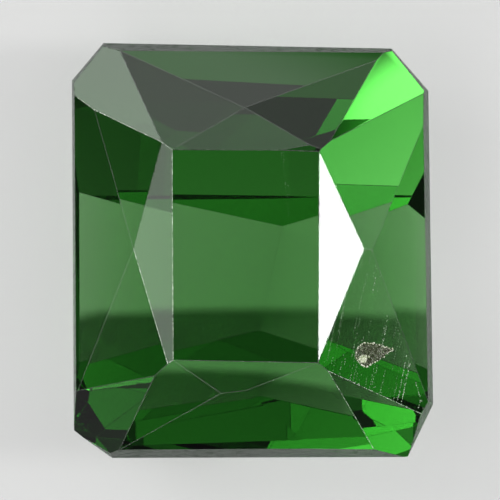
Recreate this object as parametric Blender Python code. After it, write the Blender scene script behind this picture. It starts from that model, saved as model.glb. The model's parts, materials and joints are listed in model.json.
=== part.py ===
"""A faceted green tourmaline, a corner-cut rectangle of 5.8 by 6.7 mm, lying on a facet of its keel.

Each side of the crown is cut in a scissors pattern: a flat facet on the table and a steep one on the
girdle meet tip to tip, with a long blade on either side of them. The pavilion drops in two steep steps
and closes with two shallow facets along its keel and two steeper ones at the keel's ends.

The cut is laid out table up, in millimetres: x to the right, y to the back, and z = 0 where the crown
meets the girdle. It is then turned onto the left keel facet, the way a loose stone lies, with the middle
of its box over the origin and z = 0 on the surface.
"""

import math

import bmesh
import bpy
from mathutils import Matrix, Vector, noise

MM = 0.001
STONE_NAME = "tourmaline"

# Heights over the line where the crown meets the girdle, in millimetres
TABLE_HEIGHT = 1.05
LEFT_TIP_HEIGHT = 0.735
RIGHT_TABLE_TIP_HEIGHT = 0.728
RIGHT_GIRDLE_TIP_HEIGHT = 0.656
BACK_TIP_HEIGHT = 0.693
FRONT_TIP_HEIGHT = 0.70
GIRDLE_HEIGHT = 0.26

# Table corners
TABLE_BACK_LEFT = Vector((-1.273, 1.619, TABLE_HEIGHT))
TABLE_BACK_RIGHT = Vector((1.085, 1.608, TABLE_HEIGHT))
TABLE_FRONT_RIGHT = Vector((1.069, -1.801, TABLE_HEIGHT))
TABLE_FRONT_LEFT = Vector((-1.257, -1.757, TABLE_HEIGHT))

# Tips where the table facet and the girdle facet of a side meet between its blades
LEFT_TIP = Vector((-1.894, 0.026, LEFT_TIP_HEIGHT))
RIGHT_TABLE_TIP = Vector((1.814, 0.029, RIGHT_TABLE_TIP_HEIGHT))
RIGHT_GIRDLE_TIP = Vector((1.937, 0.010, RIGHT_GIRDLE_TIP_HEIGHT))
BACK_TIP = Vector((-0.105, 2.299, BACK_TIP_HEIGHT))
FRONT_LEFT_TIP = Vector((-0.490, -2.294, FRONT_TIP_HEIGHT))
FRONT_RIGHT_TIP = Vector((-0.024, -2.294, FRONT_TIP_HEIGHT))

# Ends of each corner facet on the girdle line, which are also the ends of the sides' girdle facets
CORNER_BACK_LEFT = (Vector((-2.875, 2.518, 0)), Vector((-2.122, 3.227, 0)))
CORNER_BACK_RIGHT = (Vector((2.013, 3.064, 0)), Vector((2.786, 2.474, 0)))
CORNER_FRONT_RIGHT = (Vector((2.833, -2.643, 0)), Vector((1.945, -3.183, 0)))
CORNER_FRONT_LEFT = (Vector((-2.122, -3.199, 0)), Vector((-2.845, -2.275, 0)))

# Plan positions where each corner facet runs out between two blades
CORNER_PEAK_BACK_LEFT = (-1.450, 1.760)
CORNER_PEAK_BACK_RIGHT = (1.341, 1.801)
CORNER_PEAK_FRONT_RIGHT = (1.286, -2.026)
CORNER_PEAK_FRONT_LEFT = (-1.632, -2.026)

# Plan positions that the left blades pass through, on the table facet and on the girdle facet
LEFT_BACK_BLADE_AT = ((-1.439, 1.727), (-2.527, 2.267))
LEFT_FRONT_BLADE_AT = ((-1.350, -1.793), (-2.814, -2.299))

# Where the front blades reach the girdle line
FRONT_LEFT_BLADE_FOOT = Vector((-2.082, -3.199, 0))
FRONT_RIGHT_BLADE_FOOT = Vector((1.013, -3.199, 0))

# A sliver of a facet that was polished along the back edge of the table
SLIVER_LEFT = Vector((0.455, 1.611, TABLE_HEIGHT))
SLIVER_RIGHT = Vector((1.085, 1.590, TABLE_HEIGHT))
SLIVER_PEAK_AT = (0.822, 1.678)

# Outline at the girdle's widest, which is its lower edge
OUTLINE = {
    "left": ((-2.894, 2.749), (-2.862, -2.910)),
    "front_left": ((-2.862, -2.910), (-2.243, -3.344)),
    "front": ((-2.243, -3.344), (2.516, -3.328)),
    "front_right": ((2.516, -3.328), (2.934, -2.460)),
    "right": ((2.926, -2.460), (2.850, 2.588)),
    "back_right": ((2.844, 2.582), (2.259, 3.256)),
    "back": ((2.259, 3.256), (-2.387, 3.344)),
    "back_left": ((-2.387, 3.344), (-2.886, 2.749)),
}
# How far each girdle flat leans in from its lower edge to the crown, in degrees
GIRDLE_LEAN = {
    "left": 8,
    "front_left": 18,
    "front": 28,
    "front_right": 20,
    "right": 18,
    "back_right": 14,
    "back": 24,
    "back_left": 14,
}

# Slope of the pavilion's upper step under each flat of the girdle, in degrees below level
UPPER_STEP = {
    "left": 82,
    "front_left": 70,
    "front": 72,
    "front_right": 85,
    "right": 84,
    "back_right": 81,
    "back": 84,
    "back_left": 70,
}
# The lower step: its slope, its turn from square to the side and how far under the girdle it begins
LOWER_STEP = {
    "left": (64, -1.3, 0.85),
    "front_left": (52, 0, 1.45),
    "front": (64, 1.1, 0.40),
    "front_right": (55.5, 0, 1.53),
    "right": (58, 2.7, 1.50),
    "back_right": (33, 0, 1.43),
    "back": (57.5, 1.8, 0.65),
    "back_left": (57, 0, 1.75),
}
# The facets that close on the keel: slope and turn
KEEL_FACET = {"left": (14.5, -18.4), "right": (11.85, -7.3), "back": (42.15, 5.5), "front": (38, -3)}
KEEL_BACK_END = Vector((0.50, 0.39, -3.14))
KEEL_LENGTH = 1.72
REST_FACET = "left"

# A pit in the front blade of the right side
PIT_AT = (1.841, -1.672)
PIT_RADIUS = 0.19
PIT_DEPTH = 0.15
PIT_TAIL = 0.50
PIT_TURN = 9
PIT_ROUGHNESS = 0.12
PIT_DETAIL = 3

ROUGH_SIZE = 14
CUT_TOLERANCE = 1e-6

STONE_COLOUR = (0.02, 0.17, 0.045, 1)
STONE_ROUGHNESS = 0.02
STONE_IOR = 1.63


def plane_through(first, second, third):
    """A facet's plane through three points: a point on it and the normal that leaves the stone."""
    normal = (second - first).cross(third - first).normalized()
    if normal.dot(first) < 0:
        normal = -normal
    return first, normal


def height_on(plane, x, y):
    """The plane's height over a plan position."""
    point, normal = plane
    return point.z - (normal.x * (x - point.x) + normal.y * (y - point.y)) / normal.z


def point_on(plane, place):
    """The point of the plane over a plan position."""
    return Vector((place[0], place[1], height_on(plane, *place)))


def point_under(planes, place):
    """The point over a plan position on the lowest of several planes."""
    lowest = min(height_on(plane, *place) for plane in planes)
    return Vector((place[0], place[1], lowest))


def left_side():
    table_facet = plane_through(TABLE_BACK_LEFT, TABLE_FRONT_LEFT, LEFT_TIP)
    girdle_facet = plane_through(CORNER_BACK_LEFT[0], CORNER_FRONT_LEFT[1], LEFT_TIP)
    blades = []
    for on_table_facet, on_girdle_facet in (LEFT_BACK_BLADE_AT, LEFT_FRONT_BLADE_AT):
        high = point_on(table_facet, on_table_facet)
        low = point_on(girdle_facet, on_girdle_facet)
        blades.append(plane_through(high, LEFT_TIP, low))
    return {"table": table_facet, "girdle": girdle_facet, "back": blades[0], "front": blades[1]}


def right_side():
    return {
        "table": plane_through(TABLE_BACK_RIGHT, TABLE_FRONT_RIGHT, RIGHT_TABLE_TIP),
        "girdle": plane_through(CORNER_BACK_RIGHT[1], CORNER_FRONT_RIGHT[0], RIGHT_GIRDLE_TIP),
        "back": plane_through(TABLE_BACK_RIGHT, RIGHT_TABLE_TIP, RIGHT_GIRDLE_TIP),
        "front": plane_through(TABLE_FRONT_RIGHT, RIGHT_TABLE_TIP, RIGHT_GIRDLE_TIP),
    }


def back_side():
    return {
        "table": plane_through(TABLE_BACK_LEFT, TABLE_BACK_RIGHT, BACK_TIP),
        "girdle": plane_through(CORNER_BACK_LEFT[1], CORNER_BACK_RIGHT[0], BACK_TIP),
        "left": plane_through(TABLE_BACK_LEFT, BACK_TIP, CORNER_BACK_LEFT[1]),
        "right": plane_through(TABLE_BACK_RIGHT, BACK_TIP, CORNER_BACK_RIGHT[0]),
    }


def front_side():
    return {
        "table": plane_through(TABLE_FRONT_LEFT, TABLE_FRONT_RIGHT, FRONT_LEFT_TIP),
        "girdle": plane_through(CORNER_FRONT_LEFT[0], FRONT_RIGHT_BLADE_FOOT, FRONT_LEFT_TIP),
        "left": plane_through(TABLE_FRONT_LEFT, FRONT_LEFT_TIP, FRONT_LEFT_BLADE_FOOT),
        "right": plane_through(TABLE_FRONT_RIGHT, FRONT_RIGHT_TIP, FRONT_RIGHT_BLADE_FOOT),
    }


def crown_planes():
    """The table, four facets on each side, the four corner facets and the sliver."""
    left, right, back, front = left_side(), right_side(), back_side(), front_side()
    planes = [(TABLE_BACK_LEFT, Vector((0, 0, 1)))]
    for side in (left, right, back, front):
        planes += side.values()
    corners = (
        (CORNER_BACK_LEFT, CORNER_PEAK_BACK_LEFT, (left["back"], back["left"], left["table"])),
        (CORNER_BACK_RIGHT, CORNER_PEAK_BACK_RIGHT, (right["back"], back["right"])),
        (CORNER_FRONT_RIGHT, CORNER_PEAK_FRONT_RIGHT, (right["front"], front["right"])),
        (CORNER_FRONT_LEFT, CORNER_PEAK_FRONT_LEFT, (left["front"], front["left"])),
    )
    for ends, peak, blades in corners:
        planes.append(plane_through(*ends, point_under(blades, peak)))
    sliver_peak = point_on(back["table"], SLIVER_PEAK_AT)
    planes.append(plane_through(SLIVER_LEFT, SLIVER_RIGHT, sliver_peak))
    return planes, right["front"]


def outward(side):
    """The level direction that a flat of the outline faces, and the middle of its lower edge."""
    (start_x, start_y), (end_x, end_y) = OUTLINE[side]
    facing = Vector((start_y - end_y, end_x - start_x, 0)).normalized()
    middle = Vector(((start_x + end_x) / 2, (start_y + end_y) / 2, -GIRDLE_HEIGHT))
    if facing.dot(middle) < 0:
        facing = -facing
    return facing, middle


def girdle_planes():
    planes = []
    for side, lean in GIRDLE_LEAN.items():
        facing, middle = outward(side)
        angle = math.radians(lean)
        planes.append((middle, facing * math.cos(angle) + Vector((0, 0, math.sin(angle)))))
    return planes


def pavilion_plane(side, slope, turn, point):
    """A plane that drops away under a side of the outline, turned a little about the upright."""
    facing = Matrix.Rotation(math.radians(turn), 3, "Z") @ outward(side)[0]
    angle = math.radians(slope)
    return point, facing * math.sin(angle) - Vector((0, 0, math.cos(angle)))


def step_planes():
    """The two steps under each flat of the girdle."""
    planes = []
    for side, upper_slope in UPPER_STEP.items():
        facing, middle = outward(side)
        planes.append(pavilion_plane(side, upper_slope, 0, middle))
        slope, turn, drop = LOWER_STEP[side]
        inward = facing * (drop / math.tan(math.radians(upper_slope)))
        planes.append(pavilion_plane(side, slope, turn, middle - inward - Vector((0, 0, drop))))
    return planes


def keel_planes():
    """The shallow facets either side of the keel, and the two that close its ends."""
    keel = {}
    for side in ("left", "right", "back"):
        keel[side] = pavilion_plane(side, *KEEL_FACET[side], KEEL_BACK_END)
    along = keel["left"][1].cross(keel["right"][1]).normalized()
    if along.y > 0:
        along = -along
    front_end = KEEL_BACK_END + along * KEEL_LENGTH
    keel["front"] = pavilion_plane("front", *KEEL_FACET["front"], front_end)
    return keel


def cut_stone(planes):
    """A block cut back to every plane in turn."""
    stone = bmesh.new()
    bmesh.ops.create_cube(stone, size=ROUGH_SIZE)
    for point, normal in planes:
        cut = bmesh.ops.bisect_plane(
            stone,
            geom=stone.verts[:] + stone.edges[:] + stone.faces[:],
            dist=CUT_TOLERANCE,
            plane_co=point,
            plane_no=normal,
            clear_outer=True,
        )
        rim = [item for item in cut["geom_cut"] if isinstance(item, bmesh.types.BMEdge)]
        if rim:
            bmesh.ops.contextual_create(stone, geom=rim)
    bmesh.ops.recalc_face_normals(stone, faces=stone.faces[:])
    return stone


def object_of(shape, name):
    mesh = bpy.data.meshes.new(name)
    shape.to_mesh(mesh)
    shape.free()
    item = bpy.data.objects.new(name, mesh)
    bpy.context.scene.collection.objects.link(item)
    return item


def pit_cutter(plane):
    """A rough teardrop that lies in the facet, its tail towards the girdle."""
    drop = bmesh.new()
    bmesh.ops.create_icosphere(drop, subdivisions=PIT_DETAIL, radius=1)
    for vertex in drop.verts:
        along, across, deep = vertex.co
        lump = 1 + PIT_ROUGHNESS * noise.noise(vertex.co * 2.5)
        if along > 0:
            taper = (1 - along) ** 0.5
            vertex.co = Vector((along * PIT_TAIL, across * PIT_RADIUS * taper, deep * PIT_DEPTH * taper))
        else:
            vertex.co = Vector((along * PIT_RADIUS, across * PIT_RADIUS, deep * PIT_DEPTH))
        vertex.co *= lump
    point, normal = plane
    turn = Matrix.Rotation(math.radians(PIT_TURN), 4, "Z")
    lay = normal.to_track_quat("Z", "Y").to_matrix().to_4x4()
    along_facet = lay.to_3x3().col[0]
    spin = Matrix.Rotation(math.atan2(-along_facet.y, along_facet.x), 4, "Z")
    place = Matrix.Translation(point_on(plane, PIT_AT))
    bmesh.ops.transform(drop, matrix=place @ lay @ spin @ turn, verts=drop.verts)
    return object_of(drop, "pit_cutter")


def cut_pit(stone, plane):
    cutter = pit_cutter(plane)
    trim = stone.modifiers.new("pit", "BOOLEAN")
    trim.operation = "DIFFERENCE"
    trim.solver = "EXACT"
    trim.object = cutter
    pitted = bpy.data.meshes.new_from_object(stone.evaluated_get(bpy.context.evaluated_depsgraph_get()))
    stone.modifiers.remove(trim)
    stone.data = pitted
    bpy.data.objects.remove(cutter)


def lay_down(stone, rest):
    """Turns the stone onto the facet that it rests on and brings it to full scale over the origin."""
    _, normal = rest
    mesh = stone.data
    mesh.transform(normal.rotation_difference(Vector((0, 0, -1))).to_matrix().to_4x4())
    corners = [
        (min(v.co[axis] for v in mesh.vertices), max(v.co[axis] for v in mesh.vertices)) for axis in range(3)
    ]
    middle = Vector((sum(corners[0]) / 2, sum(corners[1]) / 2, corners[2][0]))
    mesh.transform(Matrix.Diagonal((MM, MM, MM, 1)) @ Matrix.Translation(-middle))
    mesh.name = STONE_NAME


def stone_material():
    material = bpy.data.materials.new("green_tourmaline")
    material.use_nodes = True
    shader = material.node_tree.nodes["Principled BSDF"]
    shader.inputs["Base Color"].default_value = STONE_COLOUR
    shader.inputs["Roughness"].default_value = STONE_ROUGHNESS
    shader.inputs["Metallic"].default_value = 0
    shader.inputs["IOR"].default_value = STONE_IOR
    material.diffuse_color = STONE_COLOUR
    return material


def main():
    for item in list(bpy.data.objects):
        bpy.data.objects.remove(item)
    crown, pitted_blade = crown_planes()
    keel = keel_planes()
    planes = crown + girdle_planes() + step_planes() + list(keel.values())
    stone = object_of(cut_stone(planes), STONE_NAME)
    cut_pit(stone, pitted_blade)
    lay_down(stone, keel[REST_FACET])
    stone.data.materials.clear()
    stone.data.materials.append(stone_material())


main()
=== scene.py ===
"""A faceted green tourmaline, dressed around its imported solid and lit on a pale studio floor.

The stone's own measures are in millimetres, on axes that lie with the stone: x to the right and y to the
back of its table, z out of it, with the middle of the table at zero.
"""

import json
import math
import random

import bmesh
import bpy
from mathutils import Matrix, Vector, noise
from mathutils.geometry import intersect_point_line


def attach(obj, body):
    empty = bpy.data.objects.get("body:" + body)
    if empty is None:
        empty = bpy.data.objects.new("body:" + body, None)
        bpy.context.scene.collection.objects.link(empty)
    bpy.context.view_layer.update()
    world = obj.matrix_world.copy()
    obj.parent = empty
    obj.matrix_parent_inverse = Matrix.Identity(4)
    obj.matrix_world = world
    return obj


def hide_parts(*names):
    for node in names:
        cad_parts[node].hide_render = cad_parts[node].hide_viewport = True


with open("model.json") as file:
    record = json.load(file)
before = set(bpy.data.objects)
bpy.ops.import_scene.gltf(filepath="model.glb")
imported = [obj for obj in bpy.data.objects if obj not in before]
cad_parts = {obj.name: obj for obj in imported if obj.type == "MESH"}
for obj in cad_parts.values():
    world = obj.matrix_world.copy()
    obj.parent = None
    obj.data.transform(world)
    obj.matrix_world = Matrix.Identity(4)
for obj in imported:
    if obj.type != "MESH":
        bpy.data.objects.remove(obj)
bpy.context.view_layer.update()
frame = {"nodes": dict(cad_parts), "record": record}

bl_info = {
    "name": "Faceted tourmaline",
    "version": (1, 0, 0),
    "blender": (4, 5, 0),
    "location": "View3D > Sidebar > Tourmaline",
    "description": "Finishes a cut tourmaline: polished facets, frosted girdle, growth lines and pit",
    "category": "Object",
}

MM = 0.001
STONE_NODE = "tourmaline"

MOUNTS = {mount["name"]: mount for mount in frame["record"]["mounts"]}
TABLE_MIDDLE = Vector(MOUNTS["table"]["pos_m"])
TABLE_AXIS = Vector(MOUNTS["table"]["axis"]).normalized()
TABLE_TURN = Vector((0, 0, 1)).rotation_difference(TABLE_AXIS).to_matrix()
STONE_TO_ROW = Matrix.Translation(TABLE_MIDDLE) @ TABLE_TURN.to_4x4() @ Matrix.Scale(MM, 4)
ROW_TO_STONE = STONE_TO_ROW.inverted()

# Which way a facet faces, as the sine of its lean from the girdle's level
CROWN_LEAN = 0.6
PAVILION_LEAN = -0.05
TABLE_LEAN = 0.9999
# The girdle's flats that face more to the front or the back than this are darkened with painted shade
SHADED_GIRDLE_FACING = 0.85

# Corners closer than this, in millimetres, are one corner
MERGE = 2e-5
# A face narrower than this, in millimetres, is a sliver and belongs to the facet beside it
SLIVER = 0.002
# Faces that turn less than this from each other are one facet
FLAT_ANGLE = math.radians(0.35)
# An edge that turns less than this is no junction
LEAST_TURN = math.radians(1.5)
# How far two planes may differ, in level in millimetres and in normal, and still be one
SAME_LEVEL = 2e-3
SAME_NORMAL = 5e-3
# The same for the facet that a mark keeps to, in normal
SAME_FACET = 2e-4
# How near to a cutting plane a corner counts as on it, in millimetres
ON_CUT = 1e-7

# The finishes; the last is the girdle's front and back, ground and darkened with painted shade
POLISHED, GROUND, WORN, CHIPPED, SHADED_GIRDLE = range(5)

# How sharply a speck of wear ends, and how deep the grain of a finish is, in millimetres
SPECK_EDGE = 9
GRAIN_DEPTH = 0.02
# Speck size and share of a flaw's two tones, and of the pit's
FLAW_SPECKS = (50000, 0.45)
PIT_SPECKS = (22000, 0.51)
# How often each side of the pit's faces is cut, and how fine and how high each layer of its lumps is
PIT_CUTS = 2
PIT_LUMPS = ((14, 1.0), (37, 0.6))

# The air left between the stone and the floor, in metres
FLOOR_GAP = 2e-6
# The painted shadow on the floor: the dim patch under the stone's front, its middle and its reach to each
# side, in millimetres, and the shares of the reach at which it starts and ends to fade
SHADE_MIDDLE = (0.4, -2.24)
SHADE_REACH = (2.6, 1.1)
SHADE_EDGE = (0.8, 1.2)
# The place that the camera looks at, in millimetres
VIEW_MIDDLE = (0.07, 0.10)
# How often light may turn in the stone, and between pale surfaces
STONE_BOUNCES = 32
PALE_BOUNCES = 4

# Soft panels of light about the table's axis: azimuth from the stone's right towards its back, lean from the
# axis, half width and soft edge, all in degrees, and how bright each is
SOFT_PANELS = {
    "key_right": (0, 47, 3, 4, 17.0),
    "right": (18, 55, 6, 11, 0.7),
    "right_high": (23, 23, 6, 11, 0.5),
    "front_right_top": (332, 17, 4, 8, 0.8),
    "front_right_high": (352, 30, 4, 8, 0.7),
    "front_right": (302, 55, 5, 10, 0.2),
    "front_right_low": (292, 85, 3, 6, 1.5),
    "front_high": (272, 47, 6, 11, 0.6),
    "front_low": (271, 90, 3, 6, 0.3),
    "front_left_low": (257, 81, 4, 7, 6.0),
    "front_left": (253, 58, 5, 9, 2.3),
    "front_left_far": (219, 72, 4, 8, 0.25),
    "left": (182, 48, 5, 8, 2.0),
    "left_high": (194, 17, 4, 7, 3.2),
    "back_left_high": (130, 18, 4, 8, 1.8),
    "back_left": (124, 68, 6, 11, 4.0),
    "back": (94, 63, 6, 11, 1.1),
    "back_low": (89, 83, 6, 11, 1.0),
    "high_right": (54, 12, 3, 5, 0.25),
    "back_left_top": (151, 30, 4, 8, 4.0),
}

# The step between the points of a straight mark, in millimetres
MARK_STEP = 0.03
# How grains are scattered along a path: their spacing, size and stray in widths of the grain, and the
# smallest one's share of the largest
LINE_GRAINS = {"spacing": 1.9, "size": (1.5, 1, 0.5), "smallest": 0.5, "stray": 0.25}
SCUFF_GRAINS = {"spacing": 1.8, "size": (1.4, 0.6, 0.4), "smallest": 0.3, "stray": 0.4}
NICK_GRAINS = {"spacing": 1.6, "size": (1.5, 1, 0.6), "smallest": 0.3, "stray": 0.12}
PIT_GRAINS = {"spacing": 0.9, "size": (1.3, 1.1, 0.8), "smallest": 0.3, "stray": 0.35}

# A place on the pitted facet
BLADE_AT = (1.95, -1.50)
# The growth lines' ranges: their middles across and along the facet from there, half their length, and how
# dense and how bulky their grains are
LINES_ACROSS = (-1.0, 0.75)
LINES_ALONG = (-1.5, 1.1)
HALF_LINE = (0.10, 0.42)
LINE_SHARE = (0.3, 0.85)
LINE_BULK = (0.5, 1.0)
# The clearest growth lines: start, end, how dense and how bulky
STRONG_LINES = (
    ((2.283, -1.026), (2.196, -1.436), 0.8, 1.0),
    ((2.000, -1.074), (1.960, -1.379), 0.8, 0.8),
    ((1.529, -1.090), (1.460, -1.460), 0.7, 0.8),
    ((1.572, -1.588), (1.508, -1.888), 0.7, 0.9),
    ((1.600, -1.653), (1.585, -1.733), 0.8, 1.4),
    ((2.242, -1.846), (2.161, -2.183), 0.8, 1.0),
    ((2.065, -1.888), (2.017, -2.146), 0.8, 0.9),
    ((1.832, -1.952), (1.808, -2.080), 0.8, 1.0),
    ((2.595, -1.564), (2.444, -2.339), 0.8, 1.4),
    ((2.639, -1.733), (2.499, -2.371), 0.8, 1.4),
    ((2.740, -2.039), (2.868, -2.473), 0.8, 1.3),
    ((2.820, -2.280), (2.772, -2.473), 0.8, 1.2),
)

# A painted highlight in the pit: the place where a cluster of denser, bulkier grains stands in for a glint,
# and how far its grains reach
PIT_GLINT = (1.887, -1.652)
GLINT_REACH = 0.06
# How dense and how bulky the pit's grains are on its rim, on its wall and in its painted highlight
RIM_BEADS = (0.85, 1.0)
WALL_DUST = (0.12, 0.8)
PAINTED_GLINT_GRAINS = (0.7, 1.4)

# Places on the junctions that are worn most, and how dense their nicks are
WORN_MOST = (
    ((-1.18, 0.00), 0.85),
    ((-1.26, 1.77), 0.9),
    ((-2.02, 2.17), 0.8),
    ((-2.60, 2.48), 0.8),
    ((-1.21, -1.69), 0.9),
    ((1.56, -2.20), 0.6),
    ((2.40, -2.28), 0.7),
)
# How far from such a place its junction may lie, in millimetres, and how bulky its nicks are
NEAR_JUNCTION = 0.08
WORN_BULK = 1.4
# How dense and how bulky the nicks are around the table and on the other junctions
TABLE_NICKS = (0.16, 1.0)
OTHER_NICKS = (0.08, 0.75)

# The table's scuffs: start, end, how dense and how bulky
TABLE_SCUFFS = (
    ((0.602, 1.659), (0.690, 0.66), 0.75, 0.8),
    ((0.575, 1.655), (0.650, 1.05), 0.6, 0.7),
    ((0.632, 1.655), (0.700, 0.95), 0.6, 0.7),
    ((0.660, 1.600), (0.720, 1.02), 0.5, 0.6),
    ((-0.718, -0.350), (-0.670, -1.411), 0.10, 1.7),
    ((-0.700, -0.10), (-0.640, -1.10), 0.05, 1.2),
)


class StoneLook(bpy.types.PropertyGroup):
    junction_width: bpy.props.FloatProperty(
        name="Junction width",
        description="Width of the worn line where two facets meet, in millimetres",
        default=0.012,
    )
    refraction: bpy.props.FloatProperty(name="Refraction", description="Refractive index", default=1.64)
    body_colour: bpy.props.FloatVectorProperty(
        name="Body colour",
        description="Colour of the light that the stone lets through",
        subtype="COLOR",
        size=3,
        default=(0.208, 0.65, 0.15),
    )
    body_depth: bpy.props.FloatProperty(
        name="Body depth", description="How fast the colour deepens, per metre of stone", default=600
    )
    pit_grain: bpy.props.FloatProperty(
        name="Pit grain", description="Height of the grain on the pit's wall, in millimetres", default=0.03
    )
    pit_dark: bpy.props.FloatVectorProperty(
        name="Pit dark",
        description="Dull colour of the pit's wall",
        subtype="COLOR",
        size=3,
        default=(0.16, 0.17, 0.09),
    )
    pit_pale: bpy.props.FloatVectorProperty(
        name="Pit pale",
        description="Bright colour of the pit's wall",
        subtype="COLOR",
        size=3,
        default=(0.62, 0.6, 0.5),
    )


class MarksLook(bpy.types.PropertyGroup):
    growth_lines: bpy.props.IntProperty(
        name="Growth lines", description="Number of lines across the pitted facet", default=120, min=0
    )
    growth_lean: bpy.props.FloatProperty(
        name="Growth lean",
        description="Lean of the growth lines from the stone's length",
        subtype="ANGLE",
        default=math.radians(12),
    )
    line_width: bpy.props.FloatProperty(
        name="Line width", description="Width of a fine line, in millimetres", default=0.02
    )
    nick_width: bpy.props.FloatProperty(
        name="Nick width", description="Width of a nick on a junction, in millimetres", default=0.013
    )
    rim_width: bpy.props.FloatProperty(
        name="Rim width", description="Width of a grain on the pit's rim, in millimetres", default=0.03
    )
    seed: bpy.props.IntProperty(name="Seed", description="Which way the marks scatter", default=7)


class StudioLook(bpy.types.PropertyGroup):
    view_width: bpy.props.FloatProperty(
        name="View width", description="Width of the view at the stone", unit="LENGTH", default=0.00802
    )
    view_distance: bpy.props.FloatProperty(
        name="View distance", description="Distance of the camera", unit="LENGTH", default=0.3
    )
    floor_radius: bpy.props.FloatProperty(
        name="Floor radius", description="Radius of the pale floor", unit="LENGTH", default=0.5
    )
    floor_colour: bpy.props.FloatVectorProperty(
        name="Floor colour",
        description="Colour of the pale floor",
        subtype="COLOR",
        size=3,
        default=(0.67, 0.67, 0.665),
    )
    floor_glow: bpy.props.FloatProperty(
        name="Floor glow",
        description="Light that the floor itself gives, as a light table does",
        default=0.39,
        min=0,
    )
    floor_shade: bpy.props.FloatProperty(
        name="Floor shade",
        description="Share of the floor's light that is left under the stone's front",
        subtype="FACTOR",
        default=0.1,
        min=0,
        max=1,
    )
    fill: bpy.props.FloatProperty(
        name="Fill", description="Even light that comes from every side", default=0.05, min=0
    )
    wall: bpy.props.FloatProperty(
        name="Wall", description="Brightness of the plain wall behind the floor", default=0.65, min=0
    )


# Nodes and materials


def add_node(tree, kind, **values):
    """A node with its options set."""
    node = tree.nodes.new(kind)
    for key, value in values.items():
        setattr(node, key, value)
    return node


def wire(tree, *pairs):
    """Links each output to its input."""
    for source, target in pairs:
        tree.links.new(source, target)


def add_input(tree, label, kind, value=None):
    """A named input of a node group, with its default where it has one."""
    socket = tree.interface.new_socket(label, in_out="INPUT", socket_type=kind)
    if value is not None:
        socket.default_value = value


def add_output(tree, label, kind):
    """A named output of a node group."""
    tree.interface.new_socket(label, in_out="OUTPUT", socket_type=kind)


def new_material(name):
    """An empty material and its Principled shader, wired to the output."""
    material = bpy.data.materials.new(name)
    material.use_nodes = True
    tree = material.node_tree
    return material, tree, tree.nodes["Principled BSDF"], tree.nodes["Material Output"]


def wear_group():
    """Patches of wear: a mask of specks and a height of fine grain, both by place on the stone."""
    name = "polish_wear"
    if name in bpy.data.node_groups:
        return bpy.data.node_groups[name]
    tree = bpy.data.node_groups.new(name, "ShaderNodeTree")
    for label, value in (("Speck Size", 60000), ("Speck Share", 0.5), ("Grain Size", 20000)):
        add_input(tree, label, "NodeSocketFloat", value)
    for label in ("Specks", "Grain"):
        add_output(tree, label, "NodeSocketFloat")
    inlet = add_node(tree, "NodeGroupInput")
    outlet = add_node(tree, "NodeGroupOutput")
    place = add_node(tree, "ShaderNodeTexCoord")
    specks = add_node(tree, "ShaderNodeTexNoise")
    specks.inputs["Detail"].default_value = 3
    grain = add_node(tree, "ShaderNodeTexNoise")
    grain.inputs["Detail"].default_value = 4
    edge = add_node(tree, "ShaderNodeMath", operation="SUBTRACT")
    sharp = add_node(tree, "ShaderNodeMath", operation="MULTIPLY", use_clamp=True)
    sharp.inputs[1].default_value = SPECK_EDGE
    wire(
        tree,
        (place.outputs["Object"], specks.inputs["Vector"]),
        (place.outputs["Object"], grain.inputs["Vector"]),
        (inlet.outputs["Speck Size"], specks.inputs["Scale"]),
        (inlet.outputs["Grain Size"], grain.inputs["Scale"]),
        (specks.outputs["Fac"], edge.inputs[0]),
        (inlet.outputs["Speck Share"], edge.inputs[1]),
        (edge.outputs[0], sharp.inputs[0]),
        (sharp.outputs[0], outlet.inputs["Specks"]),
        (grain.outputs["Fac"], outlet.inputs["Grain"]),
    )
    return tree


def add_body_colour(tree, outlet, look):
    """The green of the stone, taken up from the light along its way through."""
    volume = add_node(tree, "ShaderNodeVolumeAbsorption")
    volume.inputs["Color"].default_value = (*look.body_colour, 1)
    volume.inputs["Density"].default_value = look.body_depth
    wire(tree, (volume.outputs["Volume"], outlet.inputs["Volume"]))


def add_wear(tree, specks):
    """The wear group in a material, with specks of a size and a share."""
    wear = add_node(tree, "ShaderNodeGroup", node_tree=wear_group())
    for label, value in zip(("Speck Size", "Speck Share"), specks):
        wear.inputs[label].default_value = value
    return wear


def speckled_colour(tree, dark, pale, specks):
    """The output of a colour that runs from dark to pale in specks of a size and a share."""
    wear = add_wear(tree, specks)
    tone = add_node(tree, "ShaderNodeMix", data_type="RGBA")
    tone.inputs["A"].default_value = (*dark, 1)
    tone.inputs["B"].default_value = (*pale, 1)
    wire(tree, (wear.outputs["Specks"], tone.inputs["Factor"]))
    return tone.outputs["Result"]


def glass_material(name, look, base, transmission, smooth, rough, bump, specks, grain):
    """Clear stone with a surface that runs from smooth to rough in specks of a size and a share."""
    material, tree, shader, outlet = new_material(name)
    shader.inputs["Base Color"].default_value = (*base, 1)
    shader.inputs["IOR"].default_value = look.refraction
    shader.inputs["Transmission Weight"].default_value = transmission
    wear = add_wear(tree, specks)
    wear.inputs["Grain Size"].default_value = grain
    spread = add_node(tree, "ShaderNodeMapRange")
    spread.inputs["To Min"].default_value = smooth
    spread.inputs["To Max"].default_value = rough
    relief = add_node(tree, "ShaderNodeBump")
    relief.inputs["Strength"].default_value = bump
    relief.inputs["Distance"].default_value = GRAIN_DEPTH * MM
    wire(
        tree,
        (wear.outputs["Specks"], spread.inputs["Value"]),
        (spread.outputs["Result"], shader.inputs["Roughness"]),
        (wear.outputs["Grain"], relief.inputs["Height"]),
        (relief.outputs["Normal"], shader.inputs["Normal"]),
    )
    add_body_colour(tree, outlet, look)
    return material


def polished_material(look):
    """A facet's clear polish, with the faintest haze in places."""
    return glass_material(
        "polished_facet",
        look,
        base=(1, 1, 1),
        transmission=1,
        smooth=0,
        rough=0.04,
        bump=0.001,
        specks=(9000, 0.62),
        grain=1500,
    )


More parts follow.
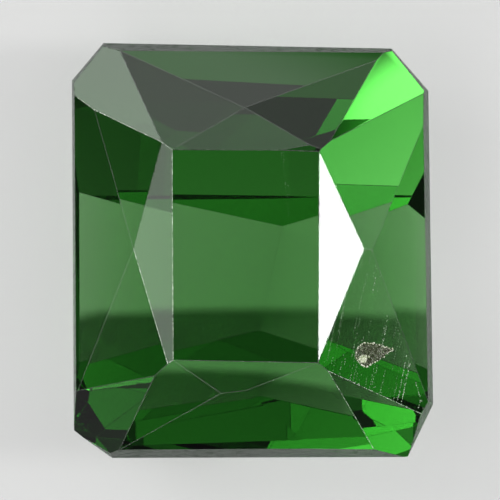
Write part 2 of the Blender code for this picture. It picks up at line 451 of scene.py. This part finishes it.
def ground_material(look):
    """The girdle's frosted sides."""
    return glass_material(
        "ground_girdle",
        look,
        base=(0.72, 0.80, 0.76),
        transmission=0.9,
        smooth=0.3,
        rough=0.6,
        bump=0.5,
        specks=(24000, 0.5),
        grain=30000,
    )


def shaded_girdle_material(look):
    """The girdle's front and back: ground, with a dark base colour that is painted shade."""
    return glass_material(
        "ground_girdle_painted_shade",
        look,
        # A dark base colour: painted shade.
        base=(0.13, 0.19, 0.14),
        transmission=0.8,
        smooth=0.15,
        rough=0.6,
        bump=0.8,
        specks=(9000, 0.55),
        grain=16000,
    )


def worn_material(look):
    """The narrow flats that wear has left on the junctions."""
    return glass_material(
        "worn_junction",
        look,
        base=(0.97, 1, 0.97),
        transmission=0.9,
        smooth=0.08,
        rough=0.35,
        bump=0.2,
        specks=(20000, 0.5),
        grain=30000,
    )


def chipped_material(look):
    """Broken stone: dull brown and grey between bright grains, with a little green coming through."""
    material = glass_material(
        "chipped_pit",
        look,
        base=look.pit_pale,
        transmission=0.45,
        smooth=0.12,
        rough=0.55,
        bump=0.9,
        specks=(30000, 0.5),
        grain=50000,
    )
    tree = material.node_tree
    tone = speckled_colour(tree, look.pit_dark, look.pit_pale, PIT_SPECKS)
    wire(tree, (tone, tree.nodes["Principled BSDF"].inputs["Base Color"]))
    return material


def flaw_material(name, pale, dark, rough, painted_glow):
    """White bruised stone, uneven in tone, with a painted glow: its emission stands in for the light it
    would gather in the stone.
    """
    material, tree, shader, _ = new_material(name)
    tone = speckled_colour(tree, dark, pale, FLAW_SPECKS)
    shader.inputs["Roughness"].default_value = rough
    # The emission is a painted glow: the marks give light though they are no lamp.
    shader.inputs["Emission Strength"].default_value = painted_glow
    wire(tree, (tone, shader.inputs["Base Color"]), (tone, shader.inputs["Emission Color"]))
    return material


def growth_line_material():
    pale, dark = (0.78, 0.9, 0.74), (0.28, 0.5, 0.25)
    # The growth lines get a faint painted glow.
    return flaw_material("growth_line", pale, dark, rough=0.4, painted_glow=0.1)


def scuff_material():
    pale, dark = (0.62, 0.72, 0.60), (0.18, 0.3, 0.18)
    return flaw_material("scuff", pale, dark, rough=0.45, painted_glow=0)


def nick_material():
    pale, dark = (0.95, 1, 0.92), (0.45, 0.6, 0.42)
    # The nicks get the strongest painted glow, so that they shine white.
    return flaw_material("nick", pale, dark, rough=0.35, painted_glow=0.45)


def broken_grain_material():
    pale, dark = (1, 1, 0.88), (0.45, 0.55, 0.32)
    # The pit's grains get a painted glow.
    return flaw_material("broken_grain", pale, dark, rough=0.3, painted_glow=0.35)


# The cut stone


def join_slivers(shape):
    """Joins every sliver to the facet along its longest side."""
    sides = []
    for face in shape.faces:
        longest = max(face.edges, key=lambda edge: edge.calc_length())
        if face.calc_area() < SLIVER * longest.calc_length():
            sides.append(longest)
    bmesh.ops.dissolve_edges(shape, edges=sides, use_verts=False)


def stone_copy():
    """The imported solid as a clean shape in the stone's own millimetres, each face with its finish."""
    shape = bmesh.new()
    shape.from_mesh(frame["nodes"][STONE_NODE].data)
    bmesh.ops.transform(shape, matrix=ROW_TO_STONE, verts=shape.verts)
    bmesh.ops.remove_doubles(shape, verts=shape.verts[:], dist=MERGE)
    bmesh.ops.dissolve_limit(
        shape,
        angle_limit=FLAT_ANGLE,
        use_dissolve_boundaries=False,
        verts=shape.verts[:],
        edges=shape.edges[:],
    )
    join_slivers(shape)
    shape.normal_update()
    sort_finishes(shape)
    return shape


def lies_on_hull(face, points):
    """Whether no point of the stone stands in front of the face, as is so for every facet but the pit's."""
    level = face.normal.dot(face.calc_center_median())
    return max(face.normal.dot(point) for point in points) - level < SAME_LEVEL


def finish_of(face, points):
    """The finish of a face: chipped in the pit, ground on the girdle or, at its front and back, ground and
    darkened with painted shade, polished elsewhere.
    """
    lean = face.normal.z
    if not lies_on_hull(face, points):
        return CHIPPED
    if PAVILION_LEAN < lean < CROWN_LEAN:
        return SHADED_GIRDLE if abs(face.normal.y) > SHADED_GIRDLE_FACING else GROUND
    return POLISHED


def sort_finishes(shape):
    """Marks each face with its finish."""
    points = [vertex.co.copy() for vertex in shape.verts]
    for face in shape.faces:
        face.material_index = finish_of(face, points)


def facets_of(shape):
    """The planes of the stone's facets as (normal, level), largest first, without the pit's."""
    planes = {}
    for face in shape.faces:
        if face.material_index == CHIPPED:
            continue
        normal = face.normal.copy()
        level = normal.dot(face.calc_center_median())
        for key in planes:
            if (key[0] - normal).length < SAME_NORMAL and abs(key[1] - level) < SAME_LEVEL:
                planes[key] += face.calc_area()
                break
        else:
            planes[(normal.freeze(), level)] = face.calc_area()
    return sorted(planes, key=planes.get, reverse=True)


def junction_planes(shape, width):
    """A narrow plane across every junction of two facets, width wide."""
    planes = []
    for edge in shape.edges:
        if len(edge.link_faces) != 2 or any(face.material_index == CHIPPED for face in edge.link_faces):
            continue
        first, second = (face.normal.copy() for face in edge.link_faces)
        between = first.angle(second)
        if between < LEAST_TURN:
            continue
        middle = (edge.verts[0].co + edge.verts[1].co) / 2
        normal = (first + second).normalized()
        planes.append((middle - normal * (width / 2 * math.tan(between / 2)), normal))
    return planes


def wear_junctions(shape, width):
    """Takes a narrow flat off every junction."""
    for point, normal in junction_planes(shape, width):
        everything = shape.verts[:] + shape.edges[:] + shape.faces[:]
        cut = bmesh.ops.bisect_plane(
            shape, geom=everything, dist=ON_CUT, plane_co=point, plane_no=normal, clear_outer=True
        )
        rim = [item for item in cut["geom_cut"] if isinstance(item, bmesh.types.BMEdge)]
        open_rim = [edge for edge in rim if edge.is_boundary]
        if open_rim:
            for face in bmesh.ops.contextual_create(shape, geom=open_rim)["faces"]:
                face.material_index = WORN
    shape.normal_update()


def grain_pit(shape, height):
    """Breaks the pit's wall into fine conchoidal grain, its rim left where it is."""
    wall = [face for face in shape.faces if face.material_index == CHIPPED]
    inner = {edge for face in wall for edge in face.edges}
    bmesh.ops.subdivide_edges(shape, edges=list(inner), cuts=PIT_CUTS, use_grid_fill=True)
    bmesh.ops.triangulate(shape, faces=[face for face in shape.faces if face.material_index == CHIPPED])
    shape.normal_update()
    for vertex in shape.verts:
        faces = vertex.link_faces
        if faces and all(face.material_index == CHIPPED for face in faces):
            lump = sum(rise * noise.noise(vertex.co * fine) for fine, rise in PIT_LUMPS)
            vertex.co += vertex.normal * height * lump


def shape_object(shape, name):
    """The shape as an object of the frame, back in metres and in place."""
    bmesh.ops.transform(shape, matrix=STONE_TO_ROW, verts=shape.verts)
    mesh = bpy.data.meshes.new(name)
    shape.to_mesh(mesh)
    shape.free()
    item = bpy.data.objects.new(name, mesh)
    bpy.context.scene.collection.objects.link(item)
    return item


class TOURMALINE_OT_polished_stone(bpy.types.Operator):
    """Cut the stone's facets, wear their junctions and give each its finish"""

    bl_idname = "tourmaline.polished_stone"
    bl_label = "Polished stone"

    def execute(self, context):
        look = context.scene.tourmaline_stone
        shape = stone_copy()
        wear_junctions(shape, look.junction_width)
        grain_pit(shape, look.pit_grain)
        stone = shape_object(shape, "polished_stone")
        for make in (polished_material, ground_material, worn_material, chipped_material, shaded_girdle_material):
            stone.data.materials.append(make(look))
        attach(stone, "root")
        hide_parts(STONE_NODE)
        return {"FINISHED"}


# Marks on the surface


def read_attribute(tree, name, kind):
    """A node that reads what a path says about its points."""
    node = add_node(tree, "GeometryNodeInputNamedAttribute", data_type=kind)
    node.inputs["Name"].default_value = name
    return node


def marks_tree():
    """Scatters half-sunk grains along paths, about one every Spacing, as dense as a path's share says."""
    name = "grains_along_paths"
    if name in bpy.data.node_groups:
        return bpy.data.node_groups[name]
    tree = bpy.data.node_groups.new(name, "GeometryNodeTree")
    add_input(tree, "Geometry", "NodeSocketGeometry")
    add_input(tree, "Spacing", "NodeSocketFloat", 0.02 * MM)
    add_input(tree, "Size", "NodeSocketVector")
    add_input(tree, "Smallest", "NodeSocketFloat", 0.4)
    add_input(tree, "Stray", "NodeSocketFloat", 0)
    add_input(tree, "Seed", "NodeSocketInt", 1)
    add_input(tree, "Material", "NodeSocketMaterial")
    add_output(tree, "Geometry", "NodeSocketGeometry")
    inlet = add_node(tree, "NodeGroupInput")
    outlet = add_node(tree, "NodeGroupOutput")
    curve = add_node(tree, "GeometryNodeMeshToCurve")
    points = add_node(tree, "GeometryNodeCurveToPoints", mode="LENGTH")
    share = read_attribute(tree, "share", "FLOAT")
    bulk = read_attribute(tree, "bulk", "FLOAT")
    facing = read_attribute(tree, "facing", "FLOAT_VECTOR")
    chance = add_node(tree, "FunctionNodeRandomValue", data_type="FLOAT")
    keep = add_node(tree, "FunctionNodeCompare", data_type="FLOAT", operation="LESS_THAN")
    spread = add_node(tree, "FunctionNodeRandomValue", data_type="FLOAT_VECTOR")
    spread.inputs[0].default_value = (-1, -1, -1)
    spread.inputs[1].default_value = (1, 1, 1)
    stray = add_node(tree, "ShaderNodeVectorMath", operation="SCALE")
    moved = add_node(tree, "GeometryNodeSetPosition")
    growth = add_node(tree, "FunctionNodeRandomValue", data_type="FLOAT")
    growth.inputs["Max"].default_value = 1.0
    grown = add_node(tree, "ShaderNodeMath", operation="MULTIPLY")
    sized = add_node(tree, "ShaderNodeVectorMath", operation="SCALE")
    turn = add_node(tree, "FunctionNodeAxesToRotation", primary_axis="Z", secondary_axis="X")
    grain = add_node(tree, "GeometryNodeMeshIcoSphere")
    grain.inputs["Radius"].default_value = 0.5
    grain.inputs["Subdivisions"].default_value = 2
    scatter = add_node(tree, "GeometryNodeInstanceOnPoints")
    solid = add_node(tree, "GeometryNodeRealizeInstances")
    finish = add_node(tree, "GeometryNodeSetMaterial")
    wire(
        tree,
        (inlet.outputs["Geometry"], curve.inputs["Mesh"]),
        (curve.outputs["Curve"], points.inputs["Curve"]),
        (inlet.outputs["Spacing"], points.inputs["Length"]),
        (inlet.outputs["Seed"], chance.inputs["Seed"]),
        (chance.outputs[1], keep.inputs["A"]),
        (share.outputs["Attribute"], keep.inputs["B"]),
        (inlet.outputs["Seed"], spread.inputs["Seed"]),
        (spread.outputs[0], stray.inputs[0]),
        (inlet.outputs["Stray"], stray.inputs["Scale"]),
        (points.outputs["Points"], moved.inputs["Geometry"]),
        (stray.outputs["Vector"], moved.inputs["Offset"]),
        (inlet.outputs["Smallest"], growth.inputs["Min"]),
        (inlet.outputs["Seed"], growth.inputs["Seed"]),
        (growth.outputs[1], grown.inputs[0]),
        (bulk.outputs["Attribute"], grown.inputs[1]),
        (inlet.outputs["Size"], sized.inputs[0]),
        (grown.outputs[0], sized.inputs["Scale"]),
        (facing.outputs["Attribute"], turn.inputs["Primary Axis"]),
        (points.outputs["Tangent"], turn.inputs["Secondary Axis"]),
        (moved.outputs["Geometry"], scatter.inputs["Points"]),
        (keep.outputs["Result"], scatter.inputs["Selection"]),
        (grain.outputs["Mesh"], scatter.inputs["Instance"]),
        (turn.outputs["Rotation"], scatter.inputs["Rotation"]),
        (sized.outputs["Vector"], scatter.inputs["Scale"]),
        (scatter.outputs["Instances"], solid.inputs["Geometry"]),
        (solid.outputs["Geometry"], finish.inputs["Geometry"]),
        (inlet.outputs["Material"], finish.inputs["Material"]),
        (finish.outputs["Geometry"], outlet.inputs["Geometry"]),
    )
    return tree


class Paths:
    """Lines on the stone, each with the way its facet faces, how dense its grains are and how bulky."""

    def __init__(self):
        self.points = []
        self.edges = []
        self.facing = []
        self.share = []
        self.bulk = []

    def add(self, points, facing, share, bulk):
        first = len(self.points)
        for point in points:
            self.points.append(STONE_TO_ROW @ point)
            self.facing.append(TABLE_TURN @ facing)
            self.share.append(share)
            self.bulk.append(bulk)
        self.edges += [(k, k + 1) for k in range(first, len(self.points) - 1)]

    def mesh(self, name):
        mesh = bpy.data.meshes.new(name)
        mesh.from_pydata(self.points, self.edges, [])
        for label, kind, values in (
            ("facing", "FLOAT_VECTOR", [axis for facing in self.facing for axis in facing]),
            ("share", "FLOAT", self.share),
            ("bulk", "FLOAT", self.bulk),
        ):
            attribute = mesh.attributes.new(label, kind, "POINT")
            attribute.data.foreach_set("vector" if kind == "FLOAT_VECTOR" else "value", values)
        return mesh


def scatter_grains(name, paths, material, width, seed, spacing, size, smallest, stray):
    """Runs grains of a width along the paths and keeps them as a plain mesh piece of the stone."""
    guide = bpy.data.objects.new(name + "_guide", paths.mesh(name + "_guide"))
    bpy.context.scene.collection.objects.link(guide)
    modifier = guide.modifiers.new("grains", "NODES")
    modifier.node_group = marks_tree()
    values = {
        "Spacing": width * spacing,
        "Size": tuple(width * part for part in size),
        "Smallest": smallest,
        "Stray": width * stray,
        "Seed": seed,
        "Material": material,
    }
    for socket in modifier.node_group.interface.items_tree:
        if socket.in_out == "INPUT" and socket.name in values:
            modifier[socket.identifier] = values[socket.name]
    graph = bpy.context.evaluated_depsgraph_get()
    mesh = bpy.data.meshes.new_from_object(guide.evaluated_get(graph), depsgraph=graph)
    guide.modifiers.remove(modifier)
    bpy.data.objects.remove(guide)
    for label in ("facing", "share", "bulk"):
        if label in mesh.attributes:
            mesh.attributes.remove(mesh.attributes[label])
    mesh.name = name
    piece = bpy.data.objects.new(name, mesh)
    bpy.context.scene.collection.objects.link(piece)
    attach(piece, "root")


def crown_planes():
    """The crown's facets as (normal, level) in the stone's millimetres."""
    shape = stone_copy()
    planes = [plane for plane in facets_of(shape) if plane[0].z > CROWN_LEAN]
    shape.free()
    return planes


def on_crown(planes, x, y):
    """The point of the crown over a plan position, and the facet's normal there."""
    heights = [((level - normal.x * x - normal.y * y) / normal.z, normal) for normal, level in planes]
    height, normal = min(heights, key=lambda item: item[0])
    return Vector((x, y, height)), normal


def line_on_crown(planes, start, end, facet=None):
    """The points of a straight mark on the crown, without those that lie off the facet that it keeps to."""
    steps = max(2, int((Vector(end) - Vector(start)).length / MARK_STEP))
    points = []
    for k in range(steps + 1):
        place = Vector(start).lerp(Vector(end), k / steps)
        point, normal = on_crown(planes, *place)
        if facet is not None and (normal - facet).length > SAME_FACET:
            continue
        points.append(point)
    return points


class TOURMALINE_OT_growth_lines(bpy.types.Operator):
    """Scatter the fine broken lines that cross the pitted facet"""

    bl_idname = "tourmaline.growth_lines"
    bl_label = "Growth lines"

    def execute(self, context):
        look = context.scene.tourmaline_marks
        planes = crown_planes()
        _, blade = on_crown(planes, *BLADE_AT)
        along = Vector((-math.sin(look.growth_lean), -math.cos(look.growth_lean)))
        across = Vector((-along.y, along.x))
        chance = random.Random(look.seed)
        paths = Paths()
        for _ in range(look.growth_lines):
            sideways = across * chance.uniform(*LINES_ACROSS)
            middle = Vector(BLADE_AT) + sideways + along * chance.uniform(*LINES_ALONG)
            half = along * chance.uniform(*HALF_LINE)
            points = line_on_crown(planes, middle - half, middle + half, blade)
            if len(points) > 1:
                paths.add(points, blade, share=chance.uniform(*LINE_SHARE), bulk=chance.uniform(*LINE_BULK))
        for start, end, share, bulk in STRONG_LINES:
            points = line_on_crown(planes, start, end, blade)
            if len(points) > 1:
                paths.add(points, blade, share, bulk)
        width = look.line_width * MM
        scatter_grains("growth_lines", paths, growth_line_material(), width, look.seed, **LINE_GRAINS)
        return {"FINISHED"}


class TOURMALINE_OT_table_scuffs(bpy.types.Operator):
    """Scatter the hairline scuffs and pin specks on the table"""

    bl_idname = "tourmaline.table_scuffs"
    bl_label = "Table scuffs"

    def execute(self, context):
        look = context.scene.tourmaline_marks
        planes = crown_planes()
        paths = Paths()
        for start, end, share, bulk in TABLE_SCUFFS:
            paths.add(line_on_crown(planes, start, end), Vector((0, 0, 1)), share, bulk)
        width = look.line_width * MM
        scatter_grains("table_scuffs", paths, scuff_material(), width, look.seed + 1, **SCUFF_GRAINS)
        return {"FINISHED"}


def lies_along(place, start, end):
    """Whether a plan place is close to the straight line from start to end."""
    near, share = intersect_point_line(Vector(place), start.xy, end.xy)
    return 0 < share < 1 and (near - Vector(place)).length < NEAR_JUNCTION


class TOURMALINE_OT_junction_nicks(bpy.types.Operator):
    """Scatter nicks along the junctions of the crown"""

    bl_idname = "tourmaline.junction_nicks"
    bl_label = "Junction nicks"

    def execute(self, context):
        look = context.scene.tourmaline_marks
        shape = stone_copy()
        paths = Paths()
        for edge in shape.edges:
            faces = edge.link_faces
            if len(faces) != 2 or any(face.material_index == CHIPPED for face in faces):
                continue
            first, second = (face.normal for face in faces)
            if first.angle(second) < LEAST_TURN or min(first.z, second.z) < CROWN_LEAN:
                continue
            ends = [vertex.co.copy() for vertex in edge.verts]
            share, bulk = TABLE_NICKS if max(first.z, second.z) > TABLE_LEAN else OTHER_NICKS
            worn = [dense for place, dense in WORN_MOST if lies_along(place, *ends)]
            if worn:
                share = max(worn)
                bulk = WORN_BULK
            paths.add(ends, (first + second).normalized(), share, bulk)
        shape.free()
        width = look.nick_width * MM
        scatter_grains("junction_nicks", paths, nick_material(), width, look.seed + 2, **NICK_GRAINS)
        return {"FINISHED"}


class TOURMALINE_OT_pit_grains(bpy.types.Operator):
    """Bead the pit's rim with broken grains, dust its wall with finer ones and paint a highlight with a
    cluster of bulkier ones
    """

    bl_idname = "tourmaline.pit_grains"
    bl_label = "Pit grains"

    def execute(self, context):
        look = context.scene.tourmaline_marks
        shape = stone_copy()
        grain_pit(shape, context.scene.tourmaline_stone.pit_grain)
        paths = Paths()
        for edge in shape.edges:
            chipped = [face.material_index == CHIPPED for face in edge.link_faces]
            ends = [vertex.co.copy() for vertex in edge.verts]
            if sum(chipped) == 1:
                outer = next(face for face in edge.link_faces if face.material_index != CHIPPED)
                paths.add(ends, outer.normal, *RIM_BEADS)
            elif sum(chipped) == 2:
                facing = (edge.link_faces[0].normal + edge.link_faces[1].normal).normalized()
                # Grains near PIT_GLINT are a painted highlight, denser and bulkier than the wall's.
                bright = (ends[0].xy - Vector(PIT_GLINT)).length < GLINT_REACH
                paths.add(ends, facing, *(PAINTED_GLINT_GRAINS if bright else WALL_DUST))
        shape.free()
        width = look.rim_width * MM
        scatter_grains("pit_grains", paths, broken_grain_material(), width, look.seed + 3, **PIT_GRAINS)
        return {"FINISHED"}


# The studio


def add_floor(look):
    """The pale floor, which gives light as a light table does, with a painted shadow where it gives less
    under the stone's front.
    """
    shape = bmesh.new()
    bmesh.ops.create_circle(shape, cap_ends=True, segments=96, radius=look.floor_radius)
    mesh = bpy.data.meshes.new("floor")
    shape.to_mesh(mesh)
    shape.free()
    floor = bpy.data.objects.new("floor", mesh)
    floor.location.z = -FLOOR_GAP
    bpy.context.scene.collection.objects.link(floor)
    material, tree, shader, _ = new_material("pale_floor")
    shader.inputs["Base Color"].default_value = (*look.floor_colour, 1)
    shader.inputs["Roughness"].default_value = 0.9
    shader.inputs["Specular IOR Level"].default_value = 0.1
    shader.inputs["Emission Color"].default_value = (1, 1, 1, 1)
    place = add_node(tree, "ShaderNodeTexCoord")
    away = add_node(tree, "ShaderNodeVectorMath", operation="SUBTRACT")
    away.inputs[1].default_value = (*(MM * part for part in SHADE_MIDDLE), 0)
    spread = add_node(tree, "ShaderNodeVectorMath", operation="DIVIDE")
    spread.inputs[1].default_value = (*(MM * part for part in SHADE_REACH), 1)
    square = add_node(tree, "ShaderNodeVectorMath", operation="MULTIPLY")
    reach = add_node(tree, "ShaderNodeVectorMath", operation="LENGTH")
    # Painted shadow: the floor's glow drops to floor_shade of itself under the stone's front.
    glow = add_node(tree, "ShaderNodeMapRange", interpolation_type="SMOOTHSTEP")
    glow.inputs["From Min"].default_value = SHADE_EDGE[0]
    glow.inputs["From Max"].default_value = SHADE_EDGE[1]
    glow.inputs["To Min"].default_value = look.floor_glow * look.floor_shade
    glow.inputs["To Max"].default_value = look.floor_glow
    wire(
        tree,
        (place.outputs["Object"], away.inputs[0]),
        (away.outputs["Vector"], spread.inputs[0]),
        (spread.outputs["Vector"], square.inputs[0]),
        (spread.outputs["Vector"], square.inputs[1]),
        (square.outputs["Vector"], reach.inputs[0]),
        (reach.outputs["Value"], glow.inputs["Value"]),
        (glow.outputs["Result"], shader.inputs["Emission Strength"]),
    )
    mesh.materials.append(material)


def panel_group():
    """A soft round panel on the sky: even in the middle, fading over its soft edge."""
    name = "soft_panel"
    if name in bpy.data.node_groups:
        return bpy.data.node_groups[name]
    tree = bpy.data.node_groups.new(name, "ShaderNodeTree")
    for label, kind in (
        ("Direction", "NodeSocketVector"),
        ("Centre", "NodeSocketVector"),
        ("Half Width", "NodeSocketFloat"),
        ("Soft Edge", "NodeSocketFloat"),
        ("Strength", "NodeSocketFloat"),
    ):
        add_input(tree, label, kind)
    add_output(tree, "Light", "NodeSocketFloat")
    inlet = add_node(tree, "NodeGroupInput")
    outlet = add_node(tree, "NodeGroupOutput")
    across = add_node(tree, "ShaderNodeVectorMath", operation="DOT_PRODUCT")
    within = add_node(tree, "ShaderNodeMath", operation="MINIMUM")
    within.inputs[1].default_value = 1
    angle = add_node(tree, "ShaderNodeMath", operation="ARCCOSINE")
    rim = add_node(tree, "ShaderNodeMath", operation="ADD")
    fade = add_node(tree, "ShaderNodeMapRange", interpolation_type="SMOOTHSTEP")
    fade.inputs["To Min"].default_value = 1
    fade.inputs["To Max"].default_value = 0
    light = add_node(tree, "ShaderNodeMath", operation="MULTIPLY")
    wire(
        tree,
        (inlet.outputs["Direction"], across.inputs[0]),
        (inlet.outputs["Centre"], across.inputs[1]),
        (across.outputs["Value"], within.inputs[0]),
        (within.outputs[0], angle.inputs[0]),
        (inlet.outputs["Half Width"], rim.inputs[0]),
        (inlet.outputs["Soft Edge"], rim.inputs[1]),
        (angle.outputs[0], fade.inputs["Value"]),
        (inlet.outputs["Half Width"], fade.inputs["From Min"]),
        (rim.outputs[0], fade.inputs["From Max"]),
        (fade.outputs["Result"], light.inputs[0]),
        (inlet.outputs["Strength"], light.inputs[1]),
        (light.outputs[0], outlet.inputs["Light"]),
    )
    return tree


def panel_centre(azimuth, lean):
    """The direction of a panel that stands at an azimuth and a lean about the table's axis."""
    turn, tilt = math.radians(azimuth), math.radians(lean)
    level = Vector((math.cos(turn), math.sin(turn), 0)) * math.sin(tilt)
    return TABLE_TURN @ (level + Vector((0, 0, math.cos(tilt))))


def add_camera(look):
    """The camera on the table's axis, far enough to look almost straight down on every part of the crown."""
    camera = bpy.data.cameras.new("camera")
    camera.sensor_width = 36
    camera.lens = camera.sensor_width * look.view_distance / look.view_width
    camera.clip_start = 0.01
    camera.clip_end = 10
    item = bpy.data.objects.new("camera", camera)
    aim = STONE_TO_ROW @ Vector((*VIEW_MIDDLE, 0))
    place = TABLE_TURN.to_4x4()
    place.translation = aim + TABLE_AXIS * look.view_distance
    item.matrix_world = place
    bpy.context.scene.collection.objects.link(item)
    bpy.context.scene.camera = item


def add_world(look):
    """The soft panels and the fill, which the camera itself sees as a plain pale wall."""
    world = bpy.data.worlds.new("studio")
    world.use_nodes = True
    tree = world.node_tree
    place = add_node(tree, "ShaderNodeTexCoord")
    total = None
    for name, (azimuth, lean, half, soft, strength) in SOFT_PANELS.items():
        panel = add_node(tree, "ShaderNodeGroup", node_tree=panel_group(), name=name, label=name)
        panel.inputs["Centre"].default_value = panel_centre(azimuth, lean)
        panel.inputs["Half Width"].default_value = math.radians(half)
        panel.inputs["Soft Edge"].default_value = math.radians(soft)
        panel.inputs["Strength"].default_value = strength
        wire(tree, (place.outputs["Generated"], panel.inputs["Direction"]))
        more = add_node(tree, "ShaderNodeMath", operation="ADD")
        if total is None:
            more.inputs[0].default_value = look.fill
        else:
            wire(tree, (total, more.inputs[0]))
        wire(tree, (panel.outputs["Light"], more.inputs[1]))
        total = more.outputs[0]
    ray = add_node(tree, "ShaderNodeLightPath")
    seen = add_node(tree, "ShaderNodeMix", data_type="FLOAT")
    seen.inputs["B"].default_value = look.wall
    background = tree.nodes["Background"]
    background.inputs["Color"].default_value = (1, 1, 1, 1)
    wire(
        tree,
        (ray.outputs["Is Camera Ray"], seen.inputs["Factor"]),
        (total, seen.inputs["A"]),
        (seen.outputs["Result"], background.inputs["Strength"]),
    )
    bpy.context.scene.world = world


class TOURMALINE_OT_studio(bpy.types.Operator):
    """Add the pale floor, the soft light and the camera"""

    bl_idname = "tourmaline.studio"
    bl_label = "Studio"

    def execute(self, context):
        scene = context.scene
        look = scene.tourmaline_studio
        add_floor(look)
        add_world(look)
        add_camera(look)
        scene.view_settings.view_transform = "Standard"
        scene.cycles.denoising_input_passes = "RGB"
        scene.cycles.max_bounces = STONE_BOUNCES
        scene.cycles.transmission_bounces = STONE_BOUNCES
        scene.cycles.glossy_bounces = STONE_BOUNCES
        scene.cycles.diffuse_bounces = PALE_BOUNCES
        return {"FINISHED"}


class TOURMALINE_PT_panel(bpy.types.Panel):
    """The stone's pieces and its studio"""

    bl_label = "Tourmaline"
    bl_idname = "TOURMALINE_PT_panel"
    bl_space_type = "VIEW_3D"
    bl_region_type = "UI"
    bl_category = "Tourmaline"

    def draw(self, context):
        for operator in OPERATORS:
            self.layout.operator(operator.bl_idname)
        for group in SETTINGS:
            look = getattr(context.scene, group)
            for name in look.__annotations__:
                self.layout.prop(look, name)


SETTINGS = {
    "tourmaline_stone": StoneLook,
    "tourmaline_marks": MarksLook,
    "tourmaline_studio": StudioLook,
}
OPERATORS = (
    TOURMALINE_OT_studio,
    TOURMALINE_OT_polished_stone,
    TOURMALINE_OT_growth_lines,
    TOURMALINE_OT_table_scuffs,
    TOURMALINE_OT_junction_nicks,
    TOURMALINE_OT_pit_grains,
)
CLASSES = (*SETTINGS.values(), *OPERATORS, TOURMALINE_PT_panel)


def register():
    for item in CLASSES:
        bpy.utils.register_class(item)
    for name, group in SETTINGS.items():
        setattr(bpy.types.Scene, name, bpy.props.PointerProperty(type=group))


def unregister():
    for name in SETTINGS:
        delattr(bpy.types.Scene, name)
    for item in reversed(CLASSES):
        bpy.utils.unregister_class(item)


def main():
    register()
    bpy.ops.tourmaline.studio()
    bpy.ops.tourmaline.polished_stone()
    bpy.ops.tourmaline.growth_lines()
    bpy.ops.tourmaline.table_scuffs()
    bpy.ops.tourmaline.junction_nicks()
    bpy.ops.tourmaline.pit_grains()


if __name__ == "__main__":
    main()
